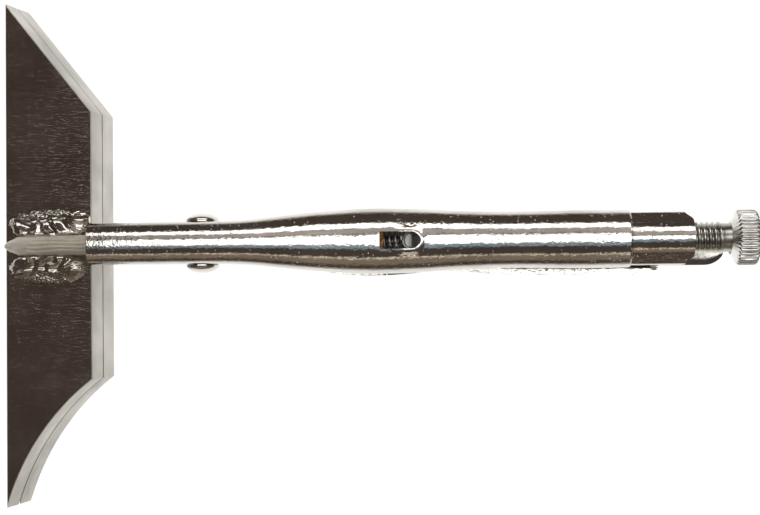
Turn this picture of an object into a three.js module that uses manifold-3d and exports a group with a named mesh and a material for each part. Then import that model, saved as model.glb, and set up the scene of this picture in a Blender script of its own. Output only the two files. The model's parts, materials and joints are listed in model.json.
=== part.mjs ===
// Locking pliers with wide welded jaw plates. Millimetres, +Z up.
// +X runs from the jaws to the adjusting knob, +Y is across the tool, and the main pivot rivet is
// at x = z = 0 while the pieces are made. The finished tool is moved to stand on z = 0.
import * as THREE from "three";
import { mergeVertices } from "three/addons/utils/BufferGeometryUtils.js";
import Module from "manifold-3d";

const wasm = await Module();
wasm.setup();

const gap = 0.3; // running gap between touching pieces
const sheet = 1.9; // handle sheet thickness
const roundSteps = 24; // sides of rivets, bores and the screw

// Pivots in the side view (x, z)
const jawPivot = new THREE.Vector2(0, 0);
const leverPivot = new THREE.Vector2(14, -20);
const linkPivot = new THREE.Vector2(42.35, -10.18);
const releasePivot = new THREE.Vector2(100, -25);
const screwAxis = { z: 3, tip: 93 };

// Jaw plates, in the jaw frame: u back from the front edge, w up from the meeting plane
const jawPitch = THREE.MathUtils.degToRad(11);
const jawFront = new THREE.Vector2(-63.07, -21.43);
const plate = { depth: 29.2, thick: 7.94, left: 76.2, right: 81.6, back: 41.2, hollow: 4 };
const nose = { width: 5.2, front: 1.2, frontHeight: 3, rearHeight: 9 };
const jawWidth = 8.2;

// Handles: rows of x, half width, top and bottom
const upperForm = [
  [-34.9, 6.3, 6.5, -7.3],
  [-18, 6.3, 8, -8],
  [0, 6.3, 9.5, -8],
  [12, 6.5, 10.3, -6.2],
  [22, 7.4, 10.9, -4.6],
  [34, 8.7, 11.5, -3.6],
  [50, 9.65, 12, -3.5],
  [65, 9.35, 12, -3.5],
  [80, 8.5, 11.9, -3.5],
  [95, 8.25, 11.7, -3.5],
  [112, 8.5, 11.2, -3.5],
  [127, 8.4, 10.6, -3.5],
];
const lowerForm = [
  [7, 6.3, -16.8, -25.6],
  [9, 6.3, -14.4, -27.6],
  [12, 6.3, -13.2, -28.7],
  [20, 6.4, -12.4, -29],
  [31, 7.9, -8.2, -28.4],
  [42, 9.6, -5.2, -28.3],
  [52, 10.1, -7, -28.6],
  [62, 9.5, -10.4, -29.2],
  [72, 8.5, -13, -30],
  [90, 9.75, -16.6, -32.2],
  [108, 10.1, -19, -34.2],
  [126, 10.2, -20.8, -35.5],
  [140.4, 10.2, -22, -36],
];
const cornerRound = { upper: 0.78, lower: 0.5 }; // channel corner radius over half width
const collar = { start: 127, end: 145.5, halfWidth: 7.9, top: 7.7, round: 2.6, bottom: -3.5, ridge: 6.5 };
const slot = { start: 53.9, end: 65.8, width: 5.1 };
const tongue = { front: 60.6, width: 3.2, thick: 1.5, drop: 6 };
const screw = { radius: 4.76, threadEnd: 154, neckRadius: 4.2, neckEnd: 155.2, spigot: 2.8, spigotEnd: 161 };
const knob = { start: 155.5, shoulder: 156.9, face: 164, end: 164.5, radius: 8.15, teeth: 36, tooth: 0.45 };
const rivet = { jaw: 3, lever: 2.8, link: 2.6, release: 2.5, fixed: 2, headRadius: 5.1, headHeight: 2.4 };
const linkSize = { halfWidth: 3, hub: 4.5, waist: 3.2, end: 3.6, length: 49.35 };
const spring = { coil: 3.1, wire: 0.6, hook: new THREE.Vector2(11, -8), top: new THREE.Vector2(61.4, 7.4) };
const release = { halfWidth: 7.6, noseHalfWidth: 3, thick: 2, tail: 160.3, flange: 1.8 };
const bead = { width: 7.9, start: 2.2, end: 27, height: 3.2, ripples: 7 };

// ---------- solids ----------

// A closed geometry as a manifold solid.
function solid(geometry) {
  const bare = geometry.clone();
  bare.deleteAttribute("normal");
  bare.deleteAttribute("uv");
  const merged = mergeVertices(bare, 1e-4);
  return new wasm.Manifold(
    new wasm.Mesh({
      numProp: 3,
      vertProperties: Float32Array.from(merged.attributes.position.array),
      triVerts: Uint32Array.from(merged.index.array),
    })
  );
}

function geometryOf(body) {
  const mesh = body.getMesh();
  const geometry = new THREE.BufferGeometry();
  geometry.setAttribute("position", new THREE.BufferAttribute(mesh.vertProperties, 3));
  geometry.setIndex(new THREE.BufferAttribute(mesh.triVerts, 1));
  geometry.computeVertexNormals();
  return geometry;
}

function join(first, ...others) {
  return geometryOf(others.reduce((body, other) => body.add(solid(other)), solid(first)));
}

function cut(first, ...others) {
  return geometryOf(others.reduce((body, other) => body.subtract(solid(other)), solid(first)));
}

function common(first, second) {
  return geometryOf(solid(first).intersect(solid(second)));
}

// A skin through rings of (y, z) points, each ring counter-clockwise seen from +X.
function loft(rings) {
  const count = rings[0].points.length;
  const positions = rings.flatMap((ring) => ring.points.flatMap((p) => [ring.x, p.x, p.y]));
  const faces = [];
  for (let i = 0; i < rings.length - 1; i++) {
    for (let j = 0; j < count; j++) {
      const next = (j + 1) % count;
      const [a, b] = [i * count + j, i * count + next];
      faces.push(a, b, b + count, a, b + count, a + count);
    }
  }
  const last = (rings.length - 1) * count;
  for (const [a, b, c] of THREE.ShapeUtils.triangulateShape(rings[0].points, [])) faces.push(c, b, a);
  for (const [a, b, c] of THREE.ShapeUtils.triangulateShape(rings.at(-1).points, [])) {
    faces.push(last + a, last + b, last + c);
  }
  const geometry = new THREE.BufferGeometry();
  geometry.setAttribute("position", new THREE.Float32BufferAttribute(positions, 3));
  geometry.setIndex(faces);
  return geometry;
}

// A side outline (x, z) given a width across the tool, centred on y.
function sidePlate(shape, width, y = 0) {
  const geometry = new THREE.ExtrudeGeometry(shape, { depth: width, bevelEnabled: false, curveSegments: 10 });
  geometry.translate(0, 0, -width / 2);
  geometry.rotateX(Math.PI / 2);
  return geometry.translate(0, y, 0);
}

// A plan outline (x, y) between two heights.
function plan(shape, low, high) {
  const geometry = new THREE.ExtrudeGeometry(shape, {
    depth: high - low,
    bevelEnabled: false,
    curveSegments: 12,
  });
  return geometry.translate(0, 0, low);
}

function box(x0, x1, y0, y1, z0, z1) {
  const geometry = new THREE.BoxGeometry(x1 - x0, y1 - y0, z1 - z0);
  return geometry.translate((x0 + x1) / 2, (y0 + y1) / 2, (z0 + z1) / 2);
}

// A round bar across the tool at a point of the side view.
function crossBar(at, radius, length) {
  return new THREE.CylinderGeometry(radius, radius, length, roundSteps).translate(at.x, 0, at.y);
}

// A turned piece about the screw axis, from its radii along x.
function turned(profile) {
  const points = profile.map(([radius, x]) => new THREE.Vector2(radius, x));
  const geometry = new THREE.LatheGeometry(points, roundSteps);
  return geometry.rotateZ(-Math.PI / 2).translate(0, 0, screwAxis.z);
}

// Points of a circle arc, in steps.
function arcPoints(centre, radius, from, to, steps) {
  return Array.from({ length: steps + 1 }, (_, i) => {
    const angle = from + ((to - from) * i) / steps;
    return new THREE.Vector2(centre.x + radius * Math.cos(angle), centre.y + radius * Math.sin(angle));
  });
}

// ---------- handles ----------

// Ring of a channel that opens downwards: outside over the crown, then back inside.
function channelRing(halfWidth, top, bottom, round) {
  const cornerSteps = 5;
  const outer = arcPoints({ x: halfWidth - round, y: top - round }, round, 0, Math.PI / 2, cornerSteps);
  const inner = arcPoints(
    { x: halfWidth - round, y: top - round },
    round - sheet,
    0,
    Math.PI / 2,
    cornerSteps
  );
  const mirrored = (points) => points.map((p) => new THREE.Vector2(-p.x, p.y)).reverse();
  return [
    new THREE.Vector2(halfWidth, bottom),
    ...outer,
    ...mirrored(outer),
    new THREE.Vector2(-halfWidth, bottom),
    new THREE.Vector2(-halfWidth + sheet, bottom),
    ...[...inner, ...mirrored(inner)].reverse(),
    new THREE.Vector2(halfWidth - sheet, bottom),
  ];
}

// Smooth rings between the rows of a handle form.
function channelRings(form, steps, opensUp) {
  const rows = new THREE.CubicInterpolant(
    form.map((row) => row[0]),
    form.flatMap((row) => row.slice(1)),
    3,
    new Float32Array(3)
  );
  const start = form[0][0];
  const end = form.at(-1)[0];
  return Array.from({ length: steps + 1 }, (_, i) => {
    const x = start + ((end - start) * i) / steps;
    const [halfWidth, top, bottom] = rows.evaluate(x);
    const round = halfWidth * (opensUp ? cornerRound.lower : cornerRound.upper);
    if (!opensUp) return { x, points: channelRing(halfWidth, top, bottom, round) };
    const points = channelRing(halfWidth, -bottom, -top, round).map((p) => new THREE.Vector2(p.x, -p.y));
    return { x, points: points.reverse() };
  });
}

function slotCutter(top) {
  const half = slot.width / 2;
  const shape = new THREE.Shape();
  shape.moveTo(slot.start, -half);
  shape.lineTo(slot.end - half, -half);
  shape.absarc(slot.end - half, 0, half, -Math.PI / 2, Math.PI / 2);
  shape.lineTo(slot.start, half);
  return plan(shape, top - 3 * sheet, top + sheet);
}

// The tongue bent down from the rear end of the slot.
function slotTongue(top) {
  const shape = new THREE.Shape();
  const { front, thick, drop, width } = tongue;
  const under = top - thick - gap;
  shape.moveTo(slot.end + 1, top - gap);
  shape.lineTo(front + thick, top - gap);
  shape.quadraticCurveTo(front, top - gap, front, under - thick);
  shape.lineTo(front, top - drop);
  shape.lineTo(front + thick, top - drop);
  shape.lineTo(front + thick, under - thick);
  shape.quadraticCurveTo(front + thick, under, front + 2 * thick, under);
  shape.lineTo(slot.end + 1, under);
  return sidePlate(shape, width);
}

function upperHandle() {
  const channel = loft(channelRings(upperForm, 32, false));
  const { start, end, halfWidth, top, bottom, round, ridge } = collar;
  const flanges = loft(
    [start - 1, end - 1.5, end].map((x, i) => ({
      x,
      points: channelRing(halfWidth - (i === 2 ? 1 : 0), top, bottom, round),
    }))
  );
  const tube = turned([
    [0, start - 2],
    [ridge, start - 2],
    [ridge, end - 1],
    [ridge - 1, end],
    [0, end],
  ]);
  const bore = turned([
    [0, start - 8],
    [screw.radius + gap, start - 8],
    [screw.radius + gap, end + 1],
    [0, end + 1],
  ]);
  const slotTop = 12;
  const body = cut(
    join(channel, flanges, tube),
    bore,
    slotCutter(slotTop),
    crossBar(jawPivot, rivet.jaw + gap, 30),
    ...fixedRivetPlaces.map((at) => crossBar(at, rivet.fixed + gap, 30))
  );
  return join(body, slotTongue(slotTop));
}

function lowerHandle() {
  const channel = loft(channelRings(lowerForm, 28, true));
  const front = lowerForm[0][0] - 1;
  return cut(
    channel,
    box(front, 23, -(jawWidth / 2 + gap), jawWidth / 2 + gap, -32, -10),
    crossBar(leverPivot, rivet.lever + gap, 30),
    crossBar(linkPivot, rivet.link + gap, 30),
    crossBar(releasePivot, rivet.release + gap, 30)
  );
}

// ---------- jaws ----------

// A point of the jaw frame in the side view.
function jawPoint(u, w) {
  const [c, s] = [Math.cos(jawPitch), Math.sin(jawPitch)];
  return new THREE.Vector2(jawFront.x + u * c - w * s, jawFront.y + u * s + w * c);
}

// Plan of a jaw plate: straight front and back, one slanted end and one hollow end.
function plateShape() {
  const { depth, left, right, back, hollow } = plate;
  const [from, to] = [new THREE.Vector2(0, -right), new THREE.Vector2(depth, -back)];
  const chord = from.distanceTo(to);
  const radius = hollow / 2 + (chord * chord) / (8 * hollow);
  const along = to.clone().sub(from).normalize();
  const outward = new THREE.Vector2(along.y, -along.x);
  const middle = from.clone().add(to).multiplyScalar(0.5);
  const centre = middle.addScaledVector(outward, radius - hollow);
  const angle = (p) => Math.atan2(p.y - centre.y, p.x - centre.x);
  const shape = new THREE.Shape();
  shape.moveTo(0, left);
  shape.lineTo(from.x, from.y);
  shape.absarc(centre.x, centre.y, radius, angle(from), angle(to), true);
  shape.lineTo(depth, back);
  return shape;
}

const fixedRivetPlaces = [new THREE.Vector2(-28, -1.5), new THREE.Vector2(-16, -1)];

// Forged shank inside the neck with the nose bar that lies on the plate.
function fixedJaw() {
  const seat = plate.thick + gap / 2 + gap;
  const shank = new THREE.Shape();
  shank.moveTo(-34.4, -6.9);
  shank.lineTo(-11.5, -7.2);
  shank.lineTo(-11.5, 4.2);
  shank.lineTo(-34.4, 2.4);
  const bar = new THREE.Shape(
    [
      [nose.front, seat],
      [plate.depth - 1, seat],
      [plate.depth + 4, seat + 3],
      [plate.depth + 5, seat + nose.rearHeight],
      [plate.depth - 1, seat + nose.rearHeight],
      [nose.front + 2, seat + nose.frontHeight],
      [nose.front, seat + nose.frontHeight / 2],
    ].map(([u, w]) => jawPoint(u, w))
  );
  return cut(
    join(sidePlate(shank, jawWidth), sidePlate(bar, nose.width)),
    ...fixedRivetPlaces.map((at) => crossBar(at, rivet.fixed + gap, 30))
  );
}

// Nose bar under the lower plate, hub on the main pivot and ear for the lower handle.
function movableJaw() {
  const seat = -(plate.thick + gap / 2 + gap);
  const hub = 5.5;
  const ear = 6.6;
  const lean = Math.atan2(leverPivot.y, leverPivot.x) + Math.PI / 2;
  const shape = new THREE.Shape();
  shape.moveTo(-hub, 0);
  shape.absarc(jawPivot.x, jawPivot.y, hub, Math.PI, lean, true);
  shape.absarc(leverPivot.x, leverPivot.y, ear, lean, lean - Math.PI, true);
  for (const [u, w] of [
    [plate.depth + 3, seat - nose.rearHeight],
    [plate.depth - 3, seat - nose.rearHeight],
    [nose.front + 2, seat - nose.frontHeight],
    [nose.front, seat - nose.frontHeight / 2],
    [nose.front, seat],
    [plate.depth + 0.6, seat],
  ]) {
    const p = jawPoint(u, w);
    shape.lineTo(p.x, p.y);
  }
  shape.lineTo(-31.6, -10);
  shape.lineTo(-9, -9);
  shape.quadraticCurveTo(-hub, -7, -hub, 0);
  const web = 1.2;
  const { hook } = spring;
  const pocket = (low, high) => box(hook.x - 2.4, hook.x + 9, low, high, hook.y - 4, hook.y + 4.4);
  return cut(
    sidePlate(shape, jawWidth),
    crossBar(jawPivot, rivet.jaw + gap, 20),
    crossBar(leverPivot, rivet.lever + gap, 20),
    crossBar(hook, spring.wire + gap, 20),
    pocket(web, jawWidth),
    pocket(-jawWidth, -web)
  );
}

// A rippled weld bead lying in the corner between plate and nose bar, in the jaw frame.
function weldBead(side, below) {
  const steps = bead.ripples * 3;
  const seat = plate.thick + gap / 2 + gap;
  const inner = (below ? jawWidth : nose.width) / 2 + gap;
  const rings = Array.from({ length: steps + 1 }, (_, i) => {
    const t = i / steps;
    const swell = Math.sqrt(Math.max(0.06, Math.sin(Math.PI * t)));
    const ripple = 1 + 0.07 * Math.cos(2 * Math.PI * bead.ripples * t);
    const width = bead.width * swell * ripple * 0.93;
    const height = bead.height * swell * ripple;
    const flank = [0.25, 0.5, 0.72, 0.9].map((s) => {
      return new THREE.Vector2(inner + width * (1 - s), seat + height * Math.sqrt(1 - (1 - s) ** 2));
    });
    const points = [
      new THREE.Vector2(inner, seat),
      new THREE.Vector2(inner + width, seat),
      ...flank,
      new THREE.Vector2(inner, seat + height),
    ];
    return { x: bead.start + (bead.end - bead.start) * t, points };
  });
  const flipped = (side < 0) !== below;
  const placed = rings.map(({ x, points }) => {
    const moved = points.map((p) => new THREE.Vector2(p.x * side, below ? -p.y : p.y));
    return { x, points: flipped ? moved.reverse() : moved };
  });
  return loft(placed);
}

// ---------- linkage ----------

function toggleLink() {
  const angle = Math.atan2(screwAxis.z - linkPivot.y, screwAxis.tip - linkPivot.x);
  const { hub, waist, end, length } = linkSize;
  const shape = new THREE.Shape();
  shape.moveTo(0, -hub);
  shape.bezierCurveTo(8, -hub, 10, -waist, 18, -waist);
  shape.lineTo(length - end - 6, -waist);
  shape.quadraticCurveTo(length - end - 3, -end, length - end, -end);
  shape.absarc(length - end, 0, end, -Math.PI / 2, Math.PI / 2, false);
  shape.quadraticCurveTo(length - end - 3, end, length - end - 6, waist);
  shape.lineTo(18, waist);
  shape.bezierCurveTo(10, waist, 8, hub, 0, hub);
  shape.absarc(0, 0, hub, Math.PI / 2, (3 * Math.PI) / 2);
  const bar = sidePlate(shape, 2 * linkSize.halfWidth);
  bar.rotateY(-angle).translate(linkPivot.x, 0, linkPivot.y);
  return cut(bar, crossBar(linkPivot, rivet.link + gap, 20));
}

// Bent sheet lever: narrow nose under the link, two flanges on the rivet and a wide tail.
function releaseLever() {
  const { halfWidth, noseHalfWidth, thick, tail, flange } = release;
  const side = new THREE.Shape();
  side.moveTo(64, -12.4);
  side.bezierCurveTo(74, -18, 88, -20.5, 100, -20.8);
  side.bezierCurveTo(120, -21.5, 138, -28, tail + 1, -29.5);
  side.lineTo(tail + 1, -29.5 - thick);
  side.bezierCurveTo(138, -28 - thick, 120, -21.5 - thick, 100, -20.8 - thick);
  side.bezierCurveTo(88, -20.5 - thick, 74, -18 - thick, 63.4, -12.4 - thick);
  const outline = new THREE.Shape();
  outline.moveTo(60, -noseHalfWidth);
  outline.lineTo(78, -noseHalfWidth);
  outline.bezierCurveTo(86, -noseHalfWidth, 86, -halfWidth, 94, -halfWidth);
  outline.lineTo(tail - 5, -halfWidth);
  outline.quadraticCurveTo(tail, -halfWidth, tail, -halfWidth + 6);
  outline.lineTo(tail, halfWidth - 6);
  outline.quadraticCurveTo(tail, halfWidth, tail - 5, halfWidth);
  outline.lineTo(94, halfWidth);
  outline.bezierCurveTo(86, halfWidth, 86, noseHalfWidth, 78, noseHalfWidth);
  outline.lineTo(60, noseHalfWidth);
  const strip = common(sidePlate(side, 4 * halfWidth), plan(outline, -60, 10));
  const cheek = new THREE.Shape();
  cheek.moveTo(94, -21.5);
  cheek.lineTo(95.6, -25.5);
  cheek.absarc(releasePivot.x, releasePivot.y, 4.4, Math.PI * 1.05, Math.PI * 1.95);
  cheek.lineTo(110, -22.8);
  const cheeks = [-1, 1].map((way) => sidePlate(cheek, flange, way * (halfWidth - flange / 2)));
  return cut(join(strip, ...cheeks), crossBar(releasePivot, rivet.release + gap, 30));
}

// Tension spring as one plain coil body with a hook loop at each end.
function jawSpring() {
  const { coil, wire, hook, top } = spring;
  const direction = top.clone().sub(hook);
  const angle = direction.angle();
  const length = direction.length();
  const loop = 2.6;
  const bodyStart = 2 * loop - wire;
  const bodyEnd = length - 2 * loop + wire + 2.4;
  const body = new THREE.CylinderGeometry(coil, coil, bodyEnd - bodyStart, 14);
  body.rotateZ(-Math.PI / 2).translate((bodyStart + bodyEnd) / 2, 0, 0);
  const ring = (x) => new THREE.TorusGeometry(loop, wire, 8, 18).translate(x, 0, 0);
  const whole = join(body, ring(loop), ring(bodyEnd + loop - wire));
  whole.rotateX(0).rotateY(-angle);
  return whole.translate(hook.x, 0, hook.y);
}

// ---------- turned pieces ----------

// Rivet across the tool: plain shank with flush ends, or with domed heads.
function rivetPiece(at, radius, halfLength, domed) {
  const half = domed
    ? [
        [radius, halfLength],
        [rivet.headRadius, halfLength],
        ...[0.25, 0.5, 0.75, 0.92].map((s) => [
          rivet.headRadius * Math.sqrt(1 - s * s),
          halfLength + rivet.headHeight * s,
        ]),
        [0, halfLength + rivet.headHeight],
      ]
    : [
        [radius, halfLength],
        [0, halfLength],
      ];
  const lower = half.map(([r, y]) => [r, -y]).reverse();
  const points = [...lower, ...half].map(([r, y]) => new THREE.Vector2(r, y));
  return new THREE.LatheGeometry(points, roundSteps).translate(at.x, 0, at.y);
}

function adjustingScrew() {
  const { radius, threadEnd, neckRadius, neckEnd, spigot, spigotEnd } = screw;
  return turned([
    [0, screwAxis.tip],
    [radius - 1.4, screwAxis.tip],
    [radius, screwAxis.tip + 1.4],
    [radius, threadEnd],
    [neckRadius, threadEnd + 0.4],
    [neckRadius, neckEnd],
    [spigot, neckEnd],
    [spigot, spigotEnd],
    [0, spigotEnd],
  ]);
}

function knurledKnob() {
  const { start, shoulder, face, end, radius, teeth, tooth } = knob;
  const shape = new THREE.Shape(
    Array.from({ length: teeth * 2 }, (_, i) => {
      const angle = (Math.PI * i) / teeth;
      const r = radius - (i % 2) * tooth;
      return new THREE.Vector2(r * Math.cos(angle), r * Math.sin(angle));
    })
  );
  const grip = new THREE.ExtrudeGeometry(shape, { depth: end - start, bevelEnabled: false });
  grip.rotateY(Math.PI / 2).translate(start, 0, screwAxis.z);
  const blank = turned([
    [0, start],
    [radius - 1.9, start],
    [radius + 0.1, shoulder],
    [radius + 0.1, face - 0.6],
    [radius - 1, face],
    [0, end],
  ]);
  const socket = turned([
    [0, start - 1],
    [screw.spigot + gap, start - 1],
    [screw.spigot + gap, screw.spigotEnd + gap],
    [0, screw.spigotEnd + gap],
  ]);
  return cut(common(grip, blank), socket);
}

// ---------- assembly ----------

const finish = {
  chrome: { color: 0xc9c4bb, roughness: 0.16, metalness: 1 },
  mirror: { color: 0x6b5f57, roughness: 0.2, metalness: 1 },
  weld: { color: 0xa59d92, roughness: 0.42, metalness: 1 },
  forged: { color: 0xb4ada2, roughness: 0.34, metalness: 1 },
  satin: { color: 0xd3cfc6, roughness: 0.38, metalness: 1 },
  spring: { color: 0x8e8a84, roughness: 0.3, metalness: 1 },
};

function piece(name, geometry, look) {
  const mesh = new THREE.Mesh(geometry, new THREE.MeshStandardMaterial(finish[look]));
  mesh.name = name;
  return mesh;
}

function platePiece(name, low) {
  return piece(name, plan(plateShape(), low, low + plate.thick), "mirror");
}

const tool = new THREE.Group();

const jawFrame = new THREE.Group();
jawFrame.position.set(jawFront.x, 0, jawFront.y);
jawFrame.rotation.y = -jawPitch;
jawFrame.add(
  platePiece("upper_jaw_plate", gap / 2),
  platePiece("lower_jaw_plate", -gap / 2 - plate.thick),
  piece("upper_weld_left", weldBead(1, false), "weld"),
  piece("upper_weld_right", weldBead(-1, false), "weld"),
  piece("lower_weld_left", weldBead(1, true), "weld"),
  piece("lower_weld_right", weldBead(-1, true), "weld")
);

tool.add(
  jawFrame,
  piece("upper_handle", upperHandle(), "chrome"),
  piece("fixed_jaw", fixedJaw(), "forged"),
  piece("fixed_jaw_rivet_front", rivetPiece(fixedRivetPlaces[0], rivet.fixed, 6.2, false), "chrome"),
  piece("fixed_jaw_rivet_rear", rivetPiece(fixedRivetPlaces[1], rivet.fixed, 6.2, false), "chrome"),
  piece("jaw_pivot_rivet", rivetPiece(jawPivot, rivet.jaw, 6.3 + gap, true), "chrome"),
  piece("jaw_spring", jawSpring(), "spring"),
  piece("adjusting_screw", adjustingScrew(), "satin"),
  piece("knurled_knob", knurledKnob(), "satin"),
  piece("movable_jaw", movableJaw(), "forged"),
  piece("lever_pivot_rivet", rivetPiece(leverPivot, rivet.lever, 6.2, false), "chrome"),
  piece("lower_handle", lowerHandle(), "chrome"),
  piece("link_pivot_rivet", rivetPiece(linkPivot, rivet.link, 9.3, false), "chrome"),
  piece("release_lever_rivet", rivetPiece(releasePivot, rivet.release, 9.6, false), "chrome"),
  piece("toggle_link", toggleLink(), "forged"),
  piece("release_lever", releaseLever(), "satin")
);

// Stand the tool on z = 0, centred in plan.
const bounds = new THREE.Box3().setFromObject(tool);
const centre = bounds.getCenter(new THREE.Vector3());
tool.position.set(-centre.x, -centre.y, -bounds.min.z);

export default tool;
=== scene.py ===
import json
import math
import bmesh
import bpy
from mathutils import Matrix, Vector, noise


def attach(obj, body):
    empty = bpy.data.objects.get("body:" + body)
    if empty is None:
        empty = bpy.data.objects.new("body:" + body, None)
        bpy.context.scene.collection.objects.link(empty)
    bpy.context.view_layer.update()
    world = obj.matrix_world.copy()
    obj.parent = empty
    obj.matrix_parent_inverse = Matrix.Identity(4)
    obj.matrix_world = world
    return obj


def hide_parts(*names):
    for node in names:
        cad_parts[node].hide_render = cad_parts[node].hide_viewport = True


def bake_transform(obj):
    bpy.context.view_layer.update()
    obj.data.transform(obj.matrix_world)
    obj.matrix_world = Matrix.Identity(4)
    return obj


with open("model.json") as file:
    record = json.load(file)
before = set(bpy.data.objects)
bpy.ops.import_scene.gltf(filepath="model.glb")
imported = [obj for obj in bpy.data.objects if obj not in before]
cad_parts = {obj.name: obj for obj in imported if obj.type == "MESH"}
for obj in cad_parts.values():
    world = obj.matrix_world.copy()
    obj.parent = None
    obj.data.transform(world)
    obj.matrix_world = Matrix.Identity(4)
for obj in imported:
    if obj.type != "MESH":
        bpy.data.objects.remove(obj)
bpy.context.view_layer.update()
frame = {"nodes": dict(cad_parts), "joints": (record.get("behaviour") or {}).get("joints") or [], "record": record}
print("frame loaded:", len(frame["nodes"]), "nodes")

# everything is drawn in millimetres from the main pivot, then put into the frame
mm = 0.001
jointAt = {j["name"]: Vector(j["pos_m"]) for j in frame["joints"] if "pos_m" in j}
pivot = jointAt["jaw_pivot"]
toFrame = Matrix.Translation(pivot) @ Matrix.Scale(mm, 4)
screwLine = jointAt["screw_turn"]
faceMount = {m["name"]: m for m in frame["record"]["mounts"]}
plateBack = -Vector(faceMount["upper_jaw_front"]["axis"]).normalized()
plateUp = Vector((-plateBack.z, 0, plateBack.x))


def toolPoint(point):
    return (Vector(point) - pivot) / mm


# ---- camera ----
camera = {
    "at": (77.8, -12.9, 432.9),
    "turn": (1.04, 3.23, -0.49),
    "lens": 68.7,
}


def makeCamera():
    data = bpy.data.cameras.new("camera")
    data.lens = camera["lens"]
    data.sensor_width = 36
    data.clip_start = 0.01
    obj = bpy.data.objects.new("camera", data)
    bpy.context.scene.collection.objects.link(obj)
    turnX, turnY, turnZ = [math.radians(a) for a in camera["turn"]]
    turn = Matrix.Rotation(turnZ, 4, "Z") @ Matrix.Rotation(turnY, 4, "Y") @ Matrix.Rotation(turnX, 4, "X")
    obj.matrix_world = Matrix.Translation(pivot + Vector(camera["at"]) * mm) @ turn
    bpy.context.scene.camera = obj


makeCamera()


# ---- materials ----
def addNode(tree, kind, inputs=None, **settings):
    node = tree.nodes.new(kind)
    for key, value in settings.items():
        setattr(node, key, value)
    for key, value in (inputs or {}).items():
        node.inputs[key].default_value = value
    return node


def addRamp(tree, source, stops):
    ramp = addNode(tree, "ShaderNodeValToRGB")
    elements = ramp.color_ramp.elements
    for i, (at, colour) in enumerate(stops):
        element = elements[i] if i < 2 else elements.new(at)
        element.position = at
        element.color = (*colour, 1) if len(colour) == 3 else colour
    tree.links.new(source, ramp.inputs["Fac"])
    return ramp.outputs["Color"]


def grey(value):
    return (value, value, value)


def addBump(tree, height, strength, distance, below=None):
    bump = addNode(tree, "ShaderNodeBump", {"Strength": strength, "Distance": distance})
    tree.links.new(height, bump.inputs["Height"])
    if below is not None:
        tree.links.new(below, bump.inputs["Normal"])
    return bump.outputs["Normal"]


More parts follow.
